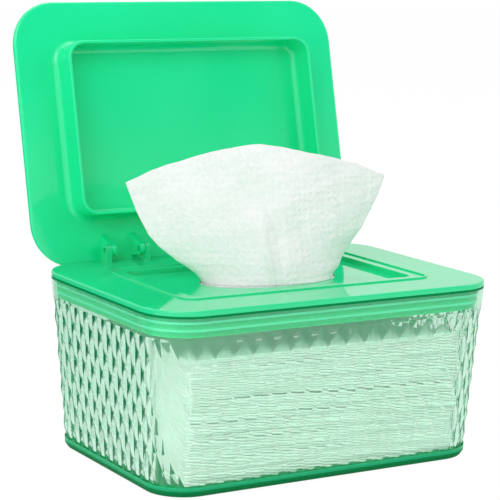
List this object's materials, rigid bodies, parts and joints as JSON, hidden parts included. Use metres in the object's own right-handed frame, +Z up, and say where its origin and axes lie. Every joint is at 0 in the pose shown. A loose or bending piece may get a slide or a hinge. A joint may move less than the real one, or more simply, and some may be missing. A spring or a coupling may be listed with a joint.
{
  "type": "countertop wipes dispenser",
  "caption": "Box for folded wipes: a clear diamond-cut tub, a glossy cover with an oval mouth, and a flip lid hinged at the back.",
  "frame": {"origin": "middle of the flat face that the tub stands on", "axes": "+X right along the long front, +Y to the back where the hinges are, +Z up"},
  "size_m": [0.19, 0.172, 0.22],
  "materials": {
    "clear_tub": "clear green-tinted moulded plastic, polished facets",
    "glossy_cover": "high gloss moulded plastic",
    "glossy_lid": "high gloss moulded plastic",
    "soft_seal": "translucent silicone, satin",
    "pin": "plain moulded plastic",
    "popup_cloth": "soft white nonwoven with a fine embossed pattern",
    "stack_cloth": "soft white nonwoven, folded"
  },
  "bodies": {
    "box": {"tub": "clear_tub", "folded_wipe_01": "stack_cloth", "folded_wipe_02": "stack_cloth", "folded_wipe_03": "stack_cloth", "folded_wipe_04": "stack_cloth", "folded_wipe_05": "stack_cloth", "folded_wipe_06": "stack_cloth", "folded_wipe_07": "stack_cloth", "folded_wipe_08": "stack_cloth", "folded_wipe_09": "stack_cloth", "folded_wipe_10": "stack_cloth", "folded_wipe_11": "stack_cloth", "folded_wipe_12": "stack_cloth", "folded_wipe_13": "stack_cloth", "folded_wipe_14": "stack_cloth", "folded_wipe_15": "stack_cloth", "folded_wipe_16": "stack_cloth", "folded_wipe_17": "stack_cloth", "folded_wipe_18": "stack_cloth", "folded_wipe_19": "stack_cloth", "folded_wipe_20": "stack_cloth", "folded_wipe_21": "stack_cloth", "folded_wipe_22": "stack_cloth"},
    "cover": {"cover_frame": "glossy_cover", "cover_seal": "soft_seal", "hinge_pin_left_outer": "pin", "hinge_pin_left_inner": "pin", "hinge_pin_right_inner": "pin", "hinge_pin_right_outer": "pin", "popup_wipe": "popup_cloth"},
    "lid": {"flip_lid": "glossy_lid"}
  },
  "joints": [
    {"name": "cover_lift", "type": "slide", "parent": "box", "child": "cover", "axis": [0, 0, 1], "range_m": [0, 0.03]},
    {"name": "lid_hinge", "type": "hinge", "parent": "cover", "child": "lid", "pos_m": [0, 0.0618, 0.0956], "axis": [1, 0, 0], "range_deg": [0, 103.5], "deforming": ["popup_wipe"]}
  ]
}
